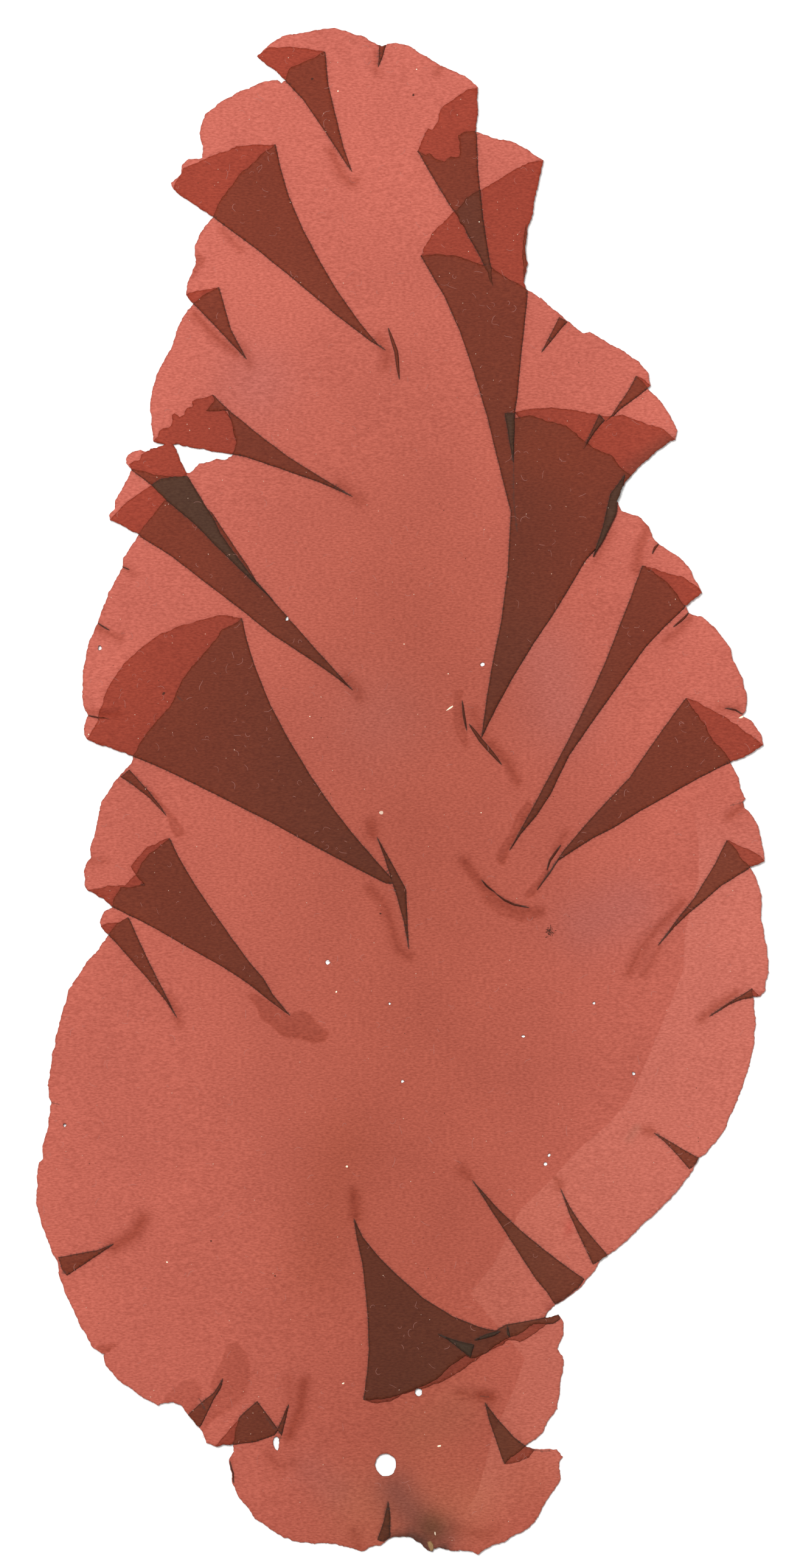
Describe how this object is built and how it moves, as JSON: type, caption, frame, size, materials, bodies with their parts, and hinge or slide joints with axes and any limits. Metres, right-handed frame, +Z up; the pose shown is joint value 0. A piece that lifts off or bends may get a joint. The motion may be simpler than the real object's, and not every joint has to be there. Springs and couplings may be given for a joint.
{
  "type": "pressed seaweed blade",
  "caption": "Thin pressed seaweed blade with a pleated, ragged margin and a small basal holdfast, lying flat.",
  "frame": {"origin": "centre of the blade's outline, on the surface that it lies on", "axes": "+Y from the holdfast towards the far end of the blade, +Z up from the surface, +X to the right seen from above"},
  "size_m": [0.1112, 0.2318, 0.0035],
  "materials": {
    "thallus": "dried coral-red film, matte with a faint satin, darker where it lies in layers"
  },
  "bodies": {
    "root": {"blade": "thallus"}
  },
  "joints": []
}
